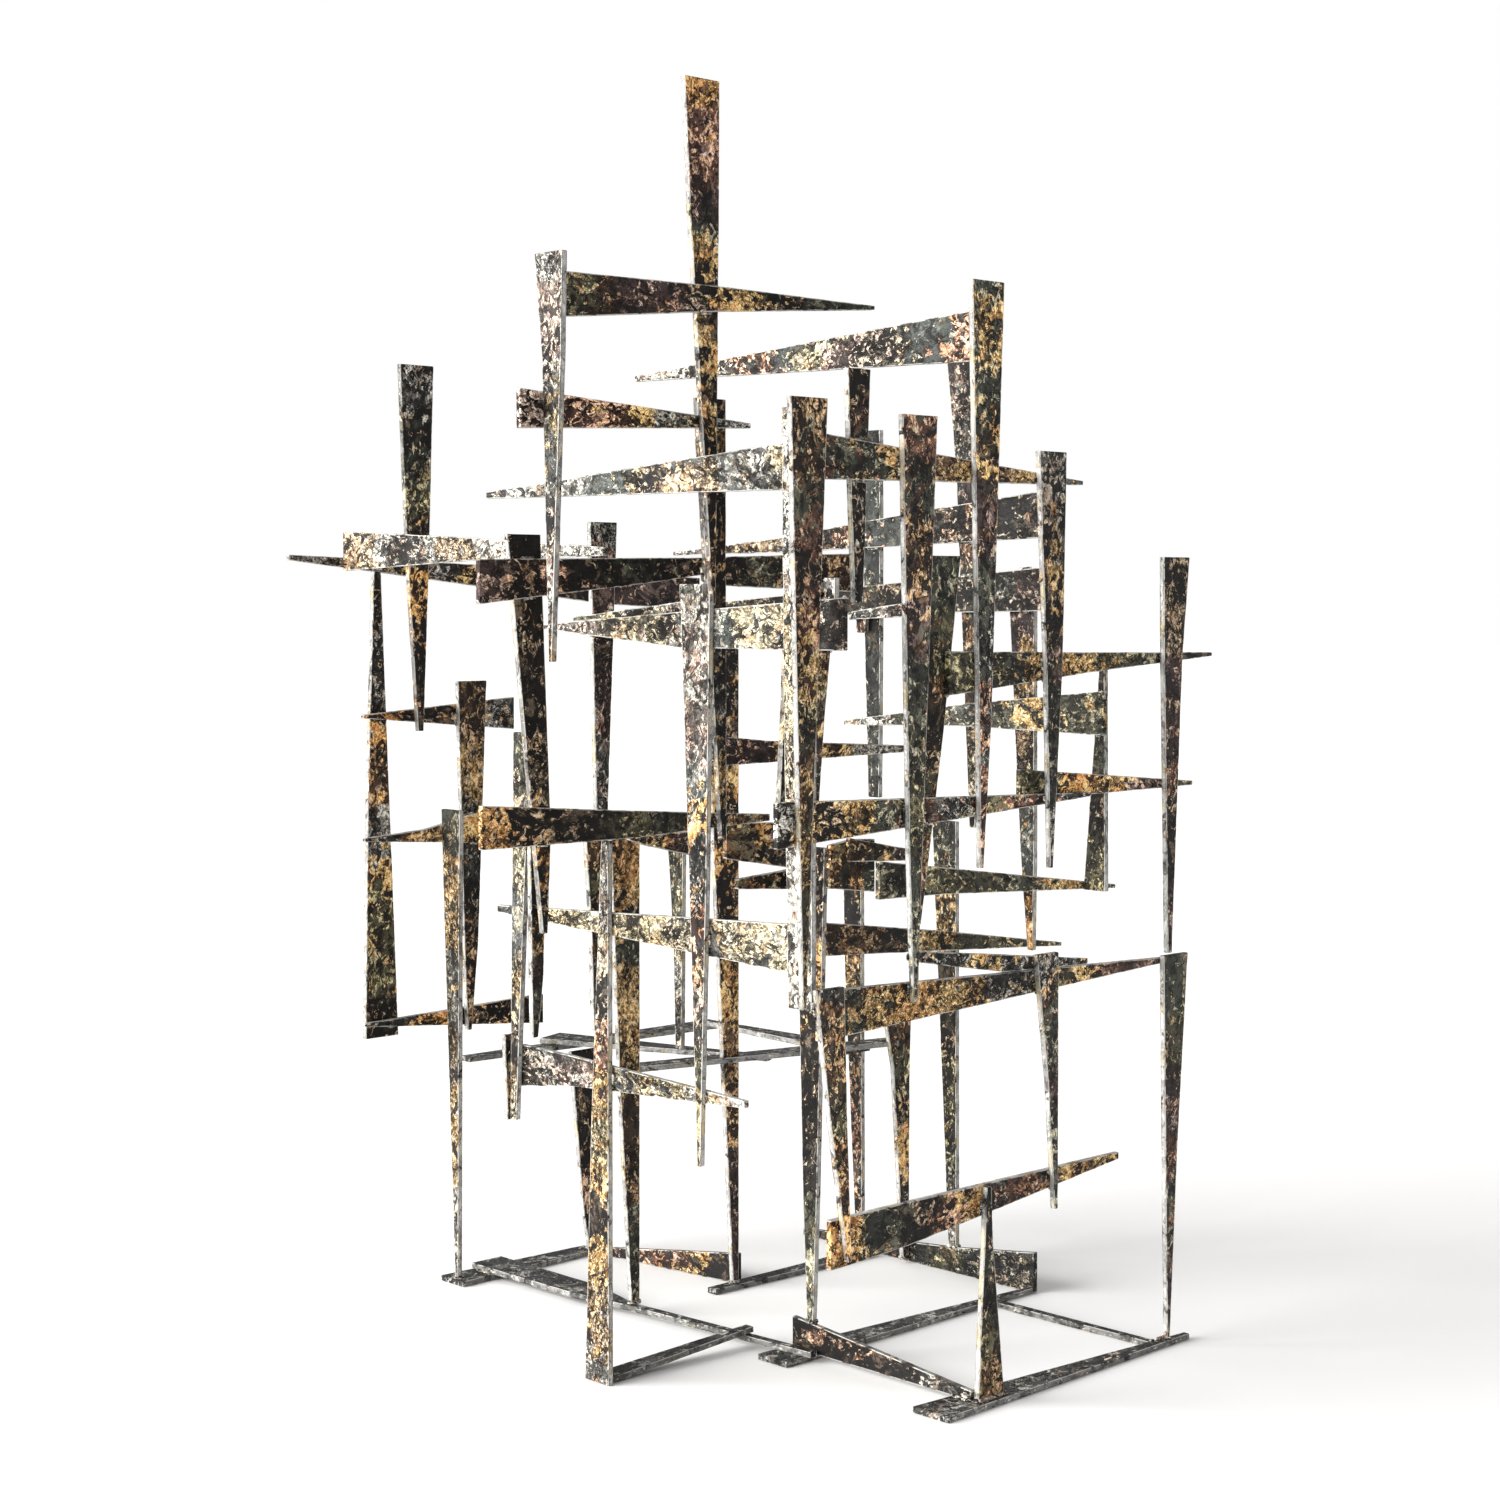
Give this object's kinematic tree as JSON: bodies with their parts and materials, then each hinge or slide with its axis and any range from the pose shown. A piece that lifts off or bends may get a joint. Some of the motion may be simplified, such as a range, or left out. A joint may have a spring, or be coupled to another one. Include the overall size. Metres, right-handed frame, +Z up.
{
  "type": "abstract steel sculpture",
  "caption": "Standing abstract sculpture: an open lattice of welded, tapered steel flats, upright and level, on a spread base of floor bars.",
  "frame": {"origin": "centre of the underside of the object's bounding box", "axes": "+Z up; +X runs along the front-facing flats, left to right; +Y runs back along the side-facing flats"},
  "size_m": [0.686, 0.7156, 1.035],
  "materials": {
    "front_blades": "dark heat-coloured, worn patina",
    "front_bars": "dark heat-coloured, worn patina",
    "side_blades": "pale scaled patina",
    "side_bars": "pale scaled patina",
    "floor_bars": "grey mill scale"
  },
  "bodies": {
    "root": {"blade_behind_front_2": "front_blades", "blade_behind_front_bar": "front_blades", "blade_behind_tallest": "front_blades", "centre_leg": "side_blades", "floor_bar_centre": "floor_bars", "floor_bar_front": "floor_bars", "floor_bar_left": "floor_bars", "floor_bar_long": "floor_bars", "floor_bar_rear": "floor_bars", "floor_bar_right": "floor_bars", "floor_bar_sloping": "floor_bars", "floor_edge_bar_centre": "floor_bars", "floor_edge_bar_rear": "floor_bars", "floor_edge_bar_right": "floor_bars", "front_bar_1": "front_bars", "front_bar_2": "front_bars", "front_bar_3": "front_bars", "front_bar_4": "front_bars", "front_bar_5": "front_bars", "front_blade_2": "front_blades", "front_blade_3": "front_blades", "front_blade_4": "front_blades", "front_centre_leg": "front_blades", "front_low_blade": "front_blades", "front_mast": "front_blades", "front_small_blade": "front_blades", "left_cross_bar": "side_bars", "left_edge_bar_1": "front_bars", "left_edge_bar_2": "front_bars", "left_edge_bar_3": "front_bars", "left_edge_blade": "front_blades", "left_front_leg": "side_blades", "left_hanging_blade": "front_blades", "left_high_blade": "side_blades", "left_inner_blade": "front_blades", "left_long_blade": "front_blades", "left_lower_bar": "front_bars", "left_middle_bar": "front_bars", "left_middle_leg": "front_blades", "left_pale_blade": "side_blades", "left_rear_leg": "side_blades", "low_cross_bar": "side_bars", "lower_long_cross_bar": "side_bars", "middle_cross_bar": "side_bars", "pale_blade_behind_mast": "side_blades", "pale_hanging_blade": "side_blades", "rear_left_bar": "front_bars", "rear_middle_leg": "front_blades", "rear_short_blade": "front_blades", "right_edge_blade": "front_blades", "right_leg": "front_blades", "right_lower_cross_bar": "side_bars", "right_middle_cross_bar": "side_bars", "right_rear_blade": "side_blades", "right_upper_cross_bar": "side_bars", "tallest_blade": "front_blades", "top_bar": "front_bars", "top_cross_bar": "side_bars", "upper_left_bar": "front_bars", "upper_long_cross_bar": "side_bars"}
  },
  "joints": []
}
